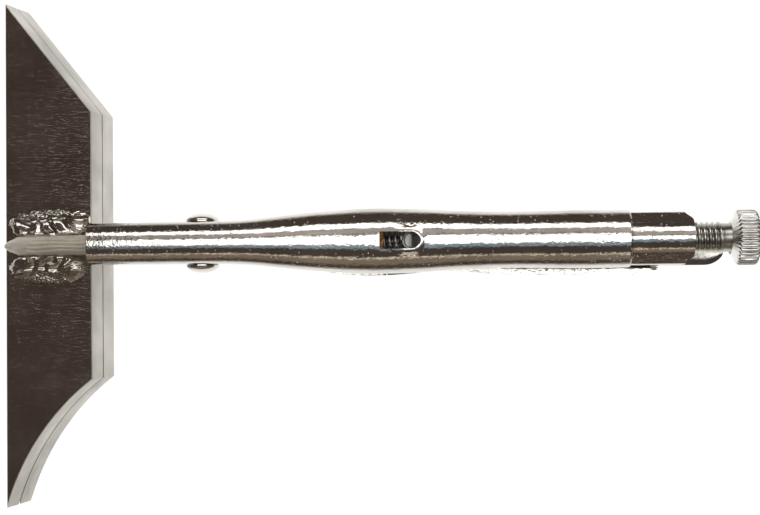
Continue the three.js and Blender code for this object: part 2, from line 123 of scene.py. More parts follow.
def platedMetal(name, look):
    material = bpy.data.materials.new(name)
    material.use_nodes = True
    tree = material.node_tree
    link = tree.links.new
    shader = tree.nodes["Principled BSDF"]
    shader.inputs["Metallic"].default_value = look.get("metal", 1.0)
    spot = addNode(tree, "ShaderNodeTexCoord").outputs["Object"]

    # slow tint drift over the plating
    drift = addNode(tree, "ShaderNodeTexNoise", {"Scale": look.get("driftScale", 45), "Detail": 3})
    link(spot, drift.inputs["Vector"])
    tint = addRamp(tree, drift.outputs["Fac"], [(0.35, look["dark"]), (0.65, look["light"])])
    link(tint, shader.inputs["Base Color"])

    # smears and worn haze in the roughness
    haze = addNode(tree, "ShaderNodeTexNoise", {"Scale": 160, "Detail": 6, "Roughness": 0.6})
    link(spot, haze.inputs["Vector"])
    low, high = look["rough"]
    worn = addRamp(tree, haze.outputs["Fac"], [(0.3, grey(low)), (0.72, grey(high))])
    link(worn, shader.inputs["Roughness"])

    if "rootShadeBand" in look:
        # painted shade: grooves around the screw's axis are darkened and crests kept bright, by distance from the
        # axis
        inner, outer, rootShadeLevel = look["rootShadeBand"]
        toAxis = {"Location": (0, -screwLine.y, -screwLine.z), "Scale": (0, 1, 1)}
        shift = addNode(tree, "ShaderNodeMapping", toAxis)
        link(spot, shift.inputs["Vector"])
        reach = addNode(tree, "ShaderNodeVectorMath", operation="LENGTH")
        link(shift.outputs["Vector"], reach.inputs[0])
        span = addNode(tree, "ShaderNodeMapRange", {"From Min": inner, "From Max": outer})
        link(reach.outputs["Value"], span.inputs["Value"])
        # painted shade ramp: dark in the thread roots, full colour at the crests
        crest = addRamp(tree, span.outputs["Result"], [(0.0, grey(rootShadeLevel)), (1.0, grey(1.0))])
        rootShadeMix = addNode(tree, "ShaderNodeMix", {"Factor": 1.0}, data_type="RGBA", blend_type="MULTIPLY")
        link(shader.inputs["Base Color"].links[0].from_socket, rootShadeMix.inputs["A"])
        link(crest, rootShadeMix.inputs["B"])
        link(rootShadeMix.outputs["Result"], shader.inputs["Base Color"])

    normal = None
    if "grain" in look:
        # fine grain left by the blasting before plating
        scale, strength, distance = look["grain"]
        grain = addNode(tree, "ShaderNodeTexNoise", {"Scale": scale, "Detail": 2, "Roughness": 0.6})
        link(spot, grain.inputs["Vector"])
        normal = addBump(tree, grain.outputs["Fac"], strength, distance, normal)
    if "peel" in look:
        # rolled skin of the sheet under the plating
        scale, strength, distance = look["peel"]
        peel = addNode(tree, "ShaderNodeTexNoise", {"Scale": scale, "Detail": 3, "Roughness": 0.55})
        link(spot, peel.inputs["Vector"])
        normal = addBump(tree, peel.outputs["Fac"], strength, distance, normal)
    if "pits" in look:
        scale, size, strength, distance = look["pits"]
        pits = addNode(tree, "ShaderNodeTexVoronoi", {"Scale": scale, "Randomness": 1.0})
        link(spot, pits.inputs["Vector"])
        dents = addRamp(tree, pits.outputs["Distance"], [(0.0, grey(0.0)), (size, grey(1.0))])
        normal = addBump(tree, dents, strength, distance, normal)
    if "scratch" in look:
        stretch, scale, strength, distance = look["scratch"]
        lay = {"Scale": stretch, "Rotation": look.get("scratchTurn", (0, 0, 0))}
        turn = addNode(tree, "ShaderNodeMapping", lay)
        link(spot, turn.inputs["Vector"])
        marks = addNode(tree, "ShaderNodeTexNoise", {"Scale": scale, "Detail": 4, "Distortion": 0.4})
        link(turn.outputs["Vector"], marks.inputs["Vector"])
        lines = addRamp(tree, marks.outputs["Fac"], [(0.5, grey(0.0)), (0.53, grey(1.0)), (0.56, grey(0.0))])
        normal = addBump(tree, lines, strength, distance, normal)
    if normal is not None:
        link(normal, shader.inputs["Normal"])
    return material


looks = {
    "handle": {
        "dark": (0.58, 0.56, 0.51), "light": (0.76, 0.74, 0.69), "rough": (0.04, 0.13),
        "peel": (480, 0.6, 0.00013), "grain": (1350, 0.7, 0.00006), "pits": (620, 0.13, 0.8, 0.00016),
    },
    "plateFace": {
        "dark": (0.50, 0.44, 0.40), "light": (0.60, 0.54, 0.50), "rough": (0.07, 0.2),
        "peel": (260, 0.12, 0.00005), "grain": (2400, 0.25, 0.00003),
        "scratch": ((1, 6, 1), 260, 0.25, 0.00002), "scratchTurn": (0, 0, 0.5),
    },
    "plateEdge": {
        "dark": (0.40, 0.39, 0.35), "light": (0.60, 0.58, 0.53), "rough": (0.3, 0.46),
        "scratch": ((1, 1, 14), 160, 0.5, 0.00004), "peel": (1500, 0.5, 0.00005),
    },
    "forged": {
        "dark": (0.72, 0.69, 0.61), "light": (0.94, 0.91, 0.82), "rough": (0.26, 0.42), "metal": 0.55,
        "peel": (420, 0.6, 0.00012), "grain": (1900, 0.5, 0.00005), "pits": (700, 0.16, 0.5, 0.0001),
    },
    "noseBar": {
        "dark": (0.74, 0.70, 0.60), "light": (0.95, 0.91, 0.80), "rough": (0.26, 0.42), "metal": 0.25,
        "peel": (420, 0.6, 0.00012), "grain": (1900, 0.5, 0.00005), "pits": (700, 0.16, 0.5, 0.0001),
    },
    "weld": {
        "dark": (0.46, 0.43, 0.38), "light": (0.80, 0.77, 0.71), "rough": (0.08, 0.26),
        "peel": (300, 0.3, 0.00012), "grain": (1500, 0.3, 0.00003), "driftScale": 260,
    },
    "rivet": {
        "dark": (0.66, 0.63, 0.58), "light": (0.80, 0.78, 0.73), "rough": (0.12, 0.24),
        "peel": (800, 0.3, 0.00006), "grain": (2300, 0.3, 0.00004),
    },
    "screw": {
        "dark": (0.55, 0.53, 0.47), "light": (0.80, 0.78, 0.72), "rough": (0.2, 0.36),
        # the last entry paints shade into the thread roots: inner radius, outer radius, and how dark the roots get
        "peel": (1500, 0.4, 0.00004), "driftScale": 260, "rootShadeBand": (0.0034, 0.0047, 0.22),
    },
    "knob": {
        "dark": (0.66, 0.65, 0.61), "light": (0.84, 0.83, 0.79), "rough": (0.14, 0.28),
        "peel": (1700, 0.4, 0.00004), "driftScale": 260,
    },
    "spring": {
        "dark": (0.22, 0.21, 0.20), "light": (0.42, 0.41, 0.39), "rough": (0.22, 0.4),
        "scratch": ((1, 8, 8), 300, 0.3, 0.00002),
    },
    "lever": {
        "dark": (0.56, 0.53, 0.48), "light": (0.76, 0.73, 0.67), "rough": (0.12, 0.26),
        "peel": (600, 0.5, 0.0001), "grain": (2000, 0.6, 0.00006),
    },
    "copper": {
        "dark": (0.62, 0.30, 0.10), "light": (0.90, 0.52, 0.22), "rough": (0.3, 0.5),
        "grain": (2600, 0.8, 0.00008), "driftScale": 900,
    },
    "tongueTip": {
        "dark": (0.34, 0.35, 0.33), "light": (0.50, 0.51, 0.49), "rough": (0.34, 0.5),
        "grain": (2600, 0.6, 0.00005),
    },
}
materials = {name: platedMetal(name + "Metal", look) for name, look in looks.items()}
print("materials made:", len(materials))


# ---- shared shaping ----
def addPiece(name, bm, body, finish, stands=(), sharp=38, place=toFrame):
    mesh = bpy.data.meshes.new(name)
    bmesh.ops.transform(bm, matrix=place, verts=bm.verts)
    bm.to_mesh(mesh)
    bm.free()
    mesh.shade_smooth()
    mesh.set_sharp_from_angle(angle=math.radians(sharp))
    obj = bpy.data.objects.new(name, mesh)
    bpy.context.scene.collection.objects.link(obj)
    for one in finish if isinstance(finish, (list, tuple)) else [finish]:
        mesh.materials.append(materials[one])
    if body:
        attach(obj, body)
    if stands:
        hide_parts(*stands)
    return obj


def bakeModifiers(obj):
    # turns the live modifiers into the mesh
    graph = bpy.context.evaluated_depsgraph_get()
    made = bpy.data.meshes.new_from_object(obj.evaluated_get(graph))
    obj.modifiers.clear()
    old = obj.data
    obj.data = made
    bpy.data.meshes.remove(old)


def cutWith(obj, cutter, sharp=38):
    modifier = obj.modifiers.new("cut", "BOOLEAN")
    modifier.operation = "DIFFERENCE"
    modifier.solver = "EXACT"
    modifier.object = cutter
    bakeModifiers(obj)
    bpy.data.objects.remove(cutter)
    obj.data.set_sharp_from_angle(angle=math.radians(sharp))


def makeCutter(bm):
    bmesh.ops.recalc_face_normals(bm, faces=bm.faces)
    bmesh.ops.transform(bm, matrix=toFrame, verts=bm.verts)
    mesh = bpy.data.meshes.new("cutter")
    bm.to_mesh(mesh)
    bm.free()
    obj = bpy.data.objects.new("cutter", mesh)
    bpy.context.scene.collection.objects.link(obj)
    return obj


def rowAt(rows, x):
    # smooth curve through rows of (x, values...)
    if x <= rows[0][0]:
        return rows[0][1:]
    if x >= rows[-1][0]:
        return rows[-1][1:]
    i = max(k for k in range(len(rows) - 1) if rows[k][0] <= x)
    before, here, there = rows[max(i - 1, 0)], rows[i], rows[i + 1]
    after = rows[min(i + 2, len(rows) - 1)]
    span = there[0] - here[0]
    t = (x - here[0]) / span
    values = []
    for k in range(1, len(here)):
        slopeIn = (there[k] - before[k]) / (there[0] - before[0]) * span
        slopeOut = (after[k] - here[k]) / (after[0] - here[0]) * span
        values.append(
            (2 * t**3 - 3 * t**2 + 1) * here[k]
            + (t**3 - 2 * t**2 + t) * slopeIn
            + (3 * t**2 - 2 * t**3) * there[k]
            + (t**3 - t**2) * slopeOut
        )
    return values


def ease(t):
    t = min(max(t, 0), 1)
    return t * t * (3 - 2 * t)


def arcPoints(centre, radius, start, end, steps):
    angles = [math.radians(start + (end - start) * i / steps) for i in range(steps + 1)]
    return [(centre[0] + radius * math.cos(a), centre[1] + radius * math.sin(a)) for a in angles]


def outlineFace(bm, verts):
    # one face from an outline in its own order, hollow stretches included
    edges = [bm.edges.new(pair) for pair in zip(verts, verts[1:] + verts[:1])]
    return bmesh.ops.edgeloop_fill(bm, edges=edges)["faces"]


def slab(points, width, bevel, segments=2):
    # side outline (x, z) made a plate across the tool, with eased edges
    bm = bmesh.new()
    verts = [bm.verts.new((x, -width / 2, z)) for x, z in points]
    face = outlineFace(bm, verts)
    made = bmesh.ops.extrude_face_region(bm, geom=face)["geom"]
    moved = [g for g in made if isinstance(g, bmesh.types.BMVert)]
    bmesh.ops.translate(bm, verts=moved, vec=(0, width, 0))
    bmesh.ops.recalc_face_normals(bm, faces=bm.faces)
    rims = [e for e in bm.edges if e.calc_face_angle(0) > 0.6]
    bmesh.ops.bevel(
        bm, geom=rims, offset=bevel, segments=segments, profile=0.5, affect="EDGES", material=-1,
        clamp_overlap=True,
    )
    return bm


def turnedStack(stations, segments, toothAt=None):
    # rings along +X from (x, radius, tooth depth), closed at both ends
    bm = bmesh.new()
    ring = bmesh.ops.create_circle(bm, segments=segments, radius=1.0)["verts"]
    bmesh.ops.rotate(bm, verts=ring, cent=(0, 0, 0), matrix=Matrix.Rotation(math.pi / 2, 3, "Y"))
    unit = [v.co.copy() for v in ring]
    edges = list(bm.edges)
    first = list(edges)
    for i, (x, radius, tooth) in enumerate(stations):
        if i:
            made = bmesh.ops.extrude_edge_only(bm, edges=edges)["geom"]
            fresh = [g for g in made if isinstance(g, bmesh.types.BMVert)]
            edges = [g for g in made if isinstance(g, bmesh.types.BMEdge)]
        else:
            fresh = ring
        for v in fresh:
            angle = math.atan2(v.co.z, v.co.y)
            wave = toothAt(angle) if toothAt else 0
            reach = radius - tooth * wave
            v.co = (x, reach * math.cos(angle), reach * math.sin(angle))
    for loop in (first, edges):
        bmesh.ops.contextual_create(bm, geom=loop)
    bmesh.ops.recalc_face_normals(bm, faces=bm.faces)
    return bm


def mergeInto(bm, other):
    # adds another shape's faces to bm
    mesh = bpy.data.meshes.new("part")
    other.to_mesh(mesh)
    other.free()
    bm.from_mesh(mesh)
    bpy.data.meshes.remove(mesh)
    return bm


# ---- pressed sheet handles ----
upperHandle = {
    "form": [
        (-34.9, 6.3, 6.5, -7.3), (-18, 6.3, 8, -8), (0, 6.3, 9.5, -8), (12, 6.5, 10.3, -6.2),
        (22, 7.4, 10.9, -4.6), (34, 8.7, 11.4, -3.6), (50, 9.65, 11.65, -3.5), (65, 9.35, 11.6, -3.5),
        (80, 8.5, 11.65, -3.5), (95, 8.25, 11.5, -3.5), (112, 8.5, 11.2, -3.5), (127, 8.4, 10.6, -3.5),
        (145.4, 8.1, 10.2, -3.5),
    ],
    "crown": [(30, 0.93), (45, 1.35), (90, 0.58)], "sheet": 1.9, "columns": 300, "around": 64,
    "spacing": [(0, -34.1), (0.28, 48), (0.56, 72), (0.72, 125.6), (0.82, 128.6), (1, 145.4)],
    "slotStart": 53.9, "slotEnd": 65.8, "slotWidth": 5.1, "lip": 0.34, "lipWidth": 0.75,
    "collarStart": 127.0, "shoulder": ((4.7, 7.5), (7.8, 4.75)), "barrel": 6.5, "axis": 3.0,
    "cornerStart": 140.0, "cornerCut": 2.4, "end": 145.4, "bottom": -3.5, "bore": 5.0,
}
lowerHandle = {
    "form": [
        (7, 6.3, -16.8, -25.6), (9, 6.3, -14.4, -27.6), (12, 6.3, -13.2, -28.7), (20, 6.4, -12.4, -29),
        (31, 7.9, -8.2, -28.4), (42, 9.6, -5.2, -28.3), (52, 10.1, -7, -28.6), (62, 9.5, -10.4, -29.2),
        (72, 8.5, -13, -30), (90, 9.75, -16.6, -32.2), (108, 10.1, -19, -34.2), (126, 10.2, -20.8, -35.5),
        (140.4, 10.2, -22, -35.98),
    ],
    "crown": [(90, 0.62)], "sheet": 1.9, "columns": 150, "around": 48, "forkEnd": 22.0, "forkHalf": 4.5,
    "spacing": [(0, 7), (1, 140.4)], "slim": 0.965, "skew": -0.55,
}


def crownPoint(arcs, slope):
    # across and down along arcs of (slope reached, radius), both in half widths
    across = down = start = 0
    for end, radius in arcs:
        reached = math.radians(min(slope, end))
        across += radius * (math.sin(reached) - math.sin(start))
        down += radius * (math.cos(start) - math.cos(reached))
        if slope <= end:
            break
        start = reached
    return across, down


def channelSection(halfWidth, top, bottom, arcs, t):
    # point (y, z) of a downward channel: t runs -1 to 1 from rim to rim over the crown
    side = 1 if t >= 0 else -1
    s = abs(t)
    flat, crownEnd = 0.1, 0.64
    wide, deep = crownPoint(arcs, 90)
    if s < flat:
        return side * (1 - wide) * halfWidth * s / flat, top
    if s < crownEnd:
        across, down = crownPoint(arcs, (s - flat) / (crownEnd - flat) * 90)
        return side * (1 - wide + across) * halfWidth, top - down * halfWidth
    fall = (s - crownEnd) / (1 - crownEnd)
    return side * halfWidth, (top - deep * halfWidth) * (1 - fall) + bottom * fall


def collarSection(t):
    # round barrel over the screw, then steep shoulders down to the side walls
    u = upperHandle
    crest, foot = u["shoulder"]
    inner, outer = 0.44, 0.7
    side = 1 if t >= 0 else -1
    s = abs(t)
    if s < inner:
        y = crest[0] * s / inner
        z = u["axis"] + math.sqrt(u["barrel"] ** 2 - y * y)
        return side * y, z
    share = min((s - inner) / (outer - inner), 1)
    y = crest[0] + (foot[0] - crest[0]) * share
    z = crest[1] + (foot[1] - crest[1]) * share
    if s > outer:
        z = foot[1] + (u["bottom"] - foot[1]) * (s - outer) / (1 - outer)
    return side * y, z


def bendGrid(spec, pointAt):
    bm = bmesh.new()
    bmesh.ops.create_grid(bm, x_segments=spec["columns"], y_segments=spec["around"], size=0.5)
    for v in bm.verts:
        share = v.co.x + 0.5
        stops = spec["spacing"]
        i = max(k for k in range(len(stops) - 1) if stops[k][0] <= share + 1e-9)
        (from0, x0), (to0, x1) = stops[i], stops[i + 1]
        x = x0 + (x1 - x0) * (share - from0) / (to0 - from0)
        v.co = pointAt(x, v.co.y * 2)
    return bm


def finishSheet(obj, thickness, rim=0.35):
    solid = obj.modifiers.new("sheet", "SOLIDIFY")
    solid.thickness = thickness * mm
    solid.offset = -1
    solid.use_even_offset = True
    edge = obj.modifiers.new("rim", "BEVEL")
    edge.width = rim * mm
    edge.segments = 2
    edge.limit_method = "ANGLE"
    edge.angle_limit = math.radians(55)
    smooth = obj.modifiers.new("smooth", "SUBSURF")
    smooth.levels = smooth.render_levels = 1
    bakeModifiers(obj)


def makeUpperHandle():
    u = upperHandle
    slotMiddle = (u["slotStart"] + u["slotEnd"]) / 2

    def pointAt(x, t):
        halfWidth, top, bottom = rowAt(u["form"], x)
        y, z = channelSection(halfWidth, top, bottom, u["crown"], t)
        collar = ease((x - u["collarStart"] + 0.2) / 0.7)
        if collar > 0:
            collarY, collarZ = collarSection(t)
            y += (collarY - y) * collar
            z += (collarZ - z) * collar
            if abs(y) < 5.5:
                z -= 0.3 * math.exp(-(((x - u["collarStart"] - 0.2) / 0.5) ** 2))
        # raised rim left by the punch round the rear of the slot
        if z > 6:
            inside = Vector((min(max(x, u["slotStart"] + 2.5), u["slotEnd"] - 2.5), 0))
            away = (Vector((x, y)) - inside).length - u["slotWidth"] / 2
            rear = ease((x - slotMiddle + 3) / 5)
            z += u["lip"] * rear * math.exp(-(((away - 0.5) / u["lipWidth"]) ** 2))
            z -= 0.12 * (1 - rear) * math.exp(-((away / 0.8) ** 2))
        # rear corners of the flanges are cut away
        if x > u["cornerStart"]:
            nearEnd = (x - u["cornerStart"]) / (u["end"] - u["cornerStart"])
            x -= u["cornerCut"] * ease((abs(y) - 5.2) / 2.6) * nearEnd
        return x, y, z

    bm = bendGrid(u, pointAt)
    bm.normal_update()
    crown = max(bm.faces, key=lambda f: f.calc_center_median().z)
    if crown.normal.z < 0:
        bmesh.ops.reverse_faces(bm, faces=bm.faces)
    obj = addPiece("upperHandleShell", bm, "upper_body", "handle", ["upper_handle"])
    finishSheet(obj, u["sheet"])

    # spring slot: square at the front, round at the back
    half = u["slotWidth"] / 2
    outline = [
        (u["slotStart"], half),
        (u["slotStart"], -half),
        *arcPoints((u["slotEnd"] - half, 0), half, -90, 90, 24),
    ]
    cutter = bmesh.new()
    verts = [cutter.verts.new((x, y, 6)) for x, y in outline]
    face = outlineFace(cutter, verts)
    made = bmesh.ops.extrude_face_region(cutter, geom=face)["geom"]
    raised = [g for g in made if isinstance(g, bmesh.types.BMVert)]
    bmesh.ops.translate(cutter, verts=raised, vec=(0, 0, 9))
    cutWith(obj, makeCutter(cutter))

    # screw bore through the collar
    bore = turnedStack([(118, u["bore"], 0), (147, u["bore"], 0)], 48)
    bmesh.ops.translate(bore, verts=bore.verts, vec=(0, 0, u["axis"]))
    cutWith(obj, makeCutter(bore))
    return obj


def makeLowerHandle():
    spec = lowerHandle

    def pointAt(x, t):
        halfWidth, top, bottom = rowAt(spec["form"], x)
        y, z = channelSection(halfWidth, -bottom, -top, spec["crown"], t)
        late = ease((x - 30) / 60)
        rounding = 1 - 0.5 * ease((x - 137.4) / 3) * abs(y / halfWidth) ** 4
        return x, y * (1 - (1 - spec["slim"]) * late) * rounding + spec["skew"] * late, -z

    bm = bendGrid(spec, pointAt)
    # the belly is open at the front, where the movable jaw's ear stands between two cheeks
    belly = []
    for face in bm.faces:
        middle = face.calc_center_median()
        if middle.x < spec["forkEnd"] and abs(middle.y) < spec["forkHalf"]:
            belly.append(face)
    bmesh.ops.delete(bm, geom=belly, context="FACES")
    bm.normal_update()
    lowest = min(bm.faces, key=lambda f: f.calc_center_median().z)
    if lowest.normal.z > 0:
        bmesh.ops.reverse_faces(bm, faces=bm.faces)
    obj = addPiece("lowerHandleShell", bm, "lever_body", "handle", ["lower_handle"])
    finishSheet(obj, spec["sheet"])
    return obj


makeUpperHandle()
makeLowerHandle()
print("handles pressed")


# ---- collar barrel and spring tongue ----
def makeCollarBarrel():
    u = upperHandle
    ring = bmesh.new()
    profile = [(126.5, 5.0), (126.5, 6.2), (145.0, 6.2), (145.4, 5.9), (145.4, 5.2), (145.1, 5.0)]
    verts = [ring.verts.new((x, 0, r)) for x, r in profile]
    face = outlineFace(ring, verts)
    bmesh.ops.spin(
        ring, geom=face, cent=(0, 0, 0), axis=(1, 0, 0), angle=2 * math.pi, steps=64, use_merge=True
    )
    bmesh.ops.remove_doubles(ring, verts=ring.verts, dist=0.001)
    bmesh.ops.recalc_face_normals(ring, faces=ring.faces)
    bmesh.ops.translate(ring, verts=ring.verts, vec=(0, 0, u["axis"]))
    return addPiece("collarBarrel", ring, "upper_body", "handle")


tongue = {
    "width": 3.6, "thick": 1.2,
    "path": [(66.6, 11.2), (65.2, 10.4), (64.3, 8.6), (63.4, 7.3), (62.2, 7.0), (60.9, 6.9), (60.3, 6.4)],
}


def makeTongue():
    bm = bmesh.new()
    steps = len(tongue["path"]) - 1
    bmesh.ops.create_grid(bm, x_segments=steps * 4, y_segments=6, size=0.5)
    for v in bm.verts:
        along = (v.co.x + 0.5) * steps
        i = min(int(along), steps - 1)
        (x0, z0), (x1, z1) = tongue["path"][i], tongue["path"][i + 1]
        share = along - i
        v.co = (x0 + (x1 - x0) * share, v.co.y * tongue["width"], z0 + (z1 - z0) * share)
    bmesh.ops.smooth_vert(bm, verts=bm.verts, factor=0.5, use_axis_x=True, use_axis_y=False, use_axis_z=True)
    bm.normal_update()
    if sum(f.normal.z for f in bm.faces) < 0:
        bmesh.ops.reverse_faces(bm, faces=bm.faces)
    obj = addPiece("springTongue", bm, "upper_body", "tongueTip")
    finishSheet(obj, tongue["thick"], 0.25)
    return obj


def makeSlotStrip():
    # bare coppered edge left where the punch tore the front of the slot
    u = upperHandle
    bm = bmesh.new()
    bmesh.ops.create_cube(bm, size=1)
    bmesh.ops.subdivide_edges(bm, edges=bm.edges, cuts=8, use_grid_fill=True)
    for v in bm.verts:
        along, across, up = v.co
        jag = 0.16 * noise.noise(Vector((along * 3, across * 9, up)))
        x = u["slotStart"] + 0.45 + 1.1 * along + jag
        v.co = (x, across * (u["slotWidth"] - 0.1), 9.9 - 0.7 * along + 0.9 * up)
    bmesh.ops.bevel(
        bm, geom=[e for e in bm.edges if e.calc_face_angle(0) > 0.9], offset=0.12, segments=2, profile=0.5,
        affect="EDGES", material=-1,
    )
    return addPiece("slotFrontEdge", bm, "upper_body", "copper")


makeCollarBarrel()
makeTongue()
makeSlotStrip()
print("collar and tongue made")


# ---- jaw plates, drawn flat in the plate frame: x back from the front edge, z up from the meeting plane ----
plate = {
    "depth": 29.2, "thick": 7.94, "left": 76.2, "right": 81.6, "back": 41.2, "hollow": 4.0, "gap": 0.3,
    "frontChamfer": 0.4, "edge": 0.25, "flatArea": 20,
}
seat = plate["thick"] + 1.5 * plate["gap"]
frontMiddle = toolPoint(faceMount["upper_jaw_front"]["pos_m"])
frontMiddle -= plateUp * (plate["thick"] / 2 + plate["gap"] / 2)
frontMiddle.y = 0
plateTurn = Matrix((plateBack, Vector((0, 1, 0)), plateUp)).transposed().to_4x4()
plateInTool = Matrix.Translation(frontMiddle) @ plateTurn
plateFrame = toFrame @ plateInTool


def plateOutline():
    start, end = Vector((0, -plate["right"])), Vector((plate["depth"], -plate["back"]))
    chord = (end - start).length
    radius = plate["hollow"] / 2 + chord * chord / (8 * plate["hollow"])
    along = (end - start).normalized()
    outward = Vector((along.y, -along.x))
    centre = (start + end) / 2 + outward * (radius - plate["hollow"])
    first = math.degrees(math.atan2(*(start - centre).yx))
    last = math.degrees(math.atan2(*(end - centre).yx))
    hollow = arcPoints(centre, radius, first, last, 28)
    return [(0, plate["left"]), *hollow, (plate["depth"], plate["back"])]


def makePlate(name, low, body, node):
    bm = bmesh.new()
    verts = [bm.verts.new((x, y, low)) for x, y in plateOutline()]
    face = outlineFace(bm, verts)
    made = bmesh.ops.extrude_face_region(bm, geom=face)["geom"]
    moved = [g for g in made if isinstance(g, bmesh.types.BMVert)]
    bmesh.ops.translate(bm, verts=moved, vec=(0, 0, plate["thick"]))
    bmesh.ops.recalc_face_normals(bm, faces=bm.faces)
    outer = low + plate["thick"] if low > 0 else low
    way = 1 if low > 0 else -1
    bmesh.ops.bisect_plane(
        bm, geom=bm.verts[:] + bm.edges[:] + bm.faces[:], plane_co=(plate["frontChamfer"], 0, outer),
        plane_no=(-0.7, 0, way), clear_outer=True,
    )
    bmesh.ops.holes_fill(bm, edges=[e for e in bm.edges if e.is_boundary], sides=0)
    bmesh.ops.recalc_face_normals(bm, faces=bm.faces)
    # the sharp tip keeps its upright edge
    rims = [e for e in bm.edges if e.calc_face_angle(0) > 0.6]
    rims = [e for e in rims if abs(e.verts[0].co.z - e.verts[1].co.z) < 1 or e.calc_face_angle(0) < 1.2]
    bmesh.ops.bevel(bm, geom=rims, offset=plate["edge"], segments=3, profile=0.5, affect="EDGES", material=-1)
    bm.normal_update()
    for one in bm.faces:
        one.material_index = 0 if abs(one.normal.z) > 0.98 else 1
    obj = addPiece(name, bm, body, ["plateFace", "plateEdge"], [node], 24, plateFrame)
    for one in obj.data.polygons:
        one.use_smooth = one.area < plate["flatArea"] * mm * mm
    return obj


makePlate("upperPlate", plate["gap"] / 2, "upper_body", "upper_jaw_plate")
makePlate("lowerPlate", -plate["gap"] / 2 - plate["thick"], "jaw_body", "lower_jaw_plate")
print("jaw plates cut")


# ---- welds ----
weld = {
    "start": 1.4, "end": 28.6, "reach": 9.4, "square": 2.35, "root": 3.0, "bed": 0.7, "ridge": 1.0,
    "lump": 1.7, "ripple": 0.05, "ripples": 7, "spatter": 0.5, "fold": 2.2,
}


def makeWeld(name, side, below, inner, body, node, seed):
    w = weld
    bm = bmesh.new()
    bmesh.ops.create_icosphere(bm, subdivisions=7, radius=1.0)
    middle, half = (w["start"] + w["end"]) / 2, (w["end"] - w["start"]) / 2
    shift = Vector((seed * 7.3, seed * 3.1, 0))
    for v in bm.verts:
        x, y, z = v.co
        # round footprint pushed out toward a rectangle
        flat = max(math.hypot(x, y), 0.0001)
        grow = max(abs(x / flat) ** w["square"] + abs(y / flat) ** w["square"], 0.01) ** (-1 / w["square"])
        way = Vector((x / flat, y / flat, seed))
        edge = 1 + flat * (0.1 * noise.noise(way * 2.3) + 0.05 * noise.noise(way * 9))
        along = middle + half * min(max(x * grow * edge, -1), 1)
        share = min(max(0.5 + 0.5 * y * grow * edge, 0), 1.06)
        across = inner + w["reach"] * share
        inside = max(0.0, 1 - flat**7)
        flow = Vector((along * 0.22, across * 0.5, 0)) + shift
        lumps = noise.noise(flow * 0.75) * w["lump"] * (1 - 0.55 * share)
        slant = Vector((along * 0.24 + across * 0.2 + lumps * 0.3, across * 0.1 - along * 0.04, 3)) + shift
        folds = (0.4 - abs(noise.noise(slant))) * w["fold"] * (1 - 0.5 * share)
        wave = w["ripple"] * math.cos(math.pi * w["ripples"] * (x - 0.25 * share * share)) * (1 - share)
        ridge = w["ridge"] * math.exp(-(((share - 0.62 - 0.06 * math.sin(5 * x)) / 0.09) ** 2))
        ragged = ease((max(share, abs(x) * 0.85) - 0.6) / 0.25)
        specks = ragged * w["spatter"] * noise.noise(Vector((along * 1.9, across * 1.9, 8)) + shift)
        profile = w["root"] * max(1 - share, 0) ** 1.5 + w["bed"] + ridge
        height = inside * max(0.15, profile + lumps * 0.6 + folds + wave + specks)
        up = seat - plate["gap"] + 0.02 + (height if z > 0 else -0.3 * abs(z))
        v.co = (along, side * across, -up if below else up)
    bmesh.ops.recalc_face_normals(bm, faces=bm.faces)
    return addPiece(name, bm, body, "weld", [node], 70, plateFrame)


makeWeld("upperWeldLeft", 1, False, 2.2, "upper_body", "upper_weld_left", 1)
makeWeld("upperWeldRight", -1, False, 2.2, "upper_body", "upper_weld_right", 2)
makeWeld("lowerWeldLeft", 1, True, 3.6, "jaw_body", "lower_weld_left", 3)
makeWeld("lowerWeldRight", -1, True, 3.6, "jaw_body", "lower_weld_right", 4)
print("welds laid")


# ---- fixed jaw: shank in the neck and grooved nose bar ----
nose = {
    "front": 0.35, "rear": 33.0, "half": 3.0, "tip": 5.5, "frontHeight": 2.9, "rearHeight": 8.8,
    "grooves": (-0.5, -0.05, 0.4), "groove": 1.15, "grooveWidth": 0.12,
}


def makeNoseBar():
    n = nose
    bm = bmesh.new()
    bmesh.ops.create_cube(bm, size=1)
    bmesh.ops.subdivide_edges(bm, edges=bm.edges, cuts=60, use_grid_fill=True)
    for v in bm.verts:
        a, b, c = v.co.x + 0.5, v.co.y * 2, v.co.z + 0.5
        u = n["front"] + (n["rear"] - n["front"]) * a**1.35
        point = min((u - n["front"]) / n["tip"], 1)
        taper = 0.22 + 0.78 * point**0.7
        height = n["frontHeight"] + (n["rearHeight"] - n["frontHeight"]) * ease(a)
        height *= 0.35 + 0.65 * taper
        # rounded crown that falls away to both sides
        y = b * n["half"] * taper * (1 - 0.12 * c**4)
        crown = 1 - 0.3 * abs(b) ** 2.6 * c
        z = seat - 0.28 + c * height * crown
        if c > 0.5:
            for i, line in enumerate(n["grooves"]):
                uneven = 0.7 + 0.5 * noise.noise(Vector((u * 0.3, i * 5, 2)))
                deep = n["groove"] * ease((u - 7 - 1.5 * i) / 5) * uneven
                bend = line + 0.05 * math.sin(u * 0.35 + i)
                z -= deep * math.exp(-(((b - bend) / n["grooveWidth"]) ** 2))
            z += 0.16 * noise.noise(Vector((u * 0.5, b * 2, 5)))
        v.co = (u, y, z)
    bmesh.ops.recalc_face_normals(bm, faces=bm.faces)
    stands = ["fixed_jaw"]
    return addPiece("fixedJawNose", bm, "upper_body", "noseBar", stands, 50, plateFrame)


def makeFixedShank():
    bm = slab([(-34.6, -6.9), (-11.5, -7.2), (-11.5, 4.2), (-34.6, 2.4)], 8.2, 0.5)
    return addPiece("fixedJawShank", bm, "upper_body", "forged")


makeNoseBar()
makeFixedShank()
print("fixed jaw forged")


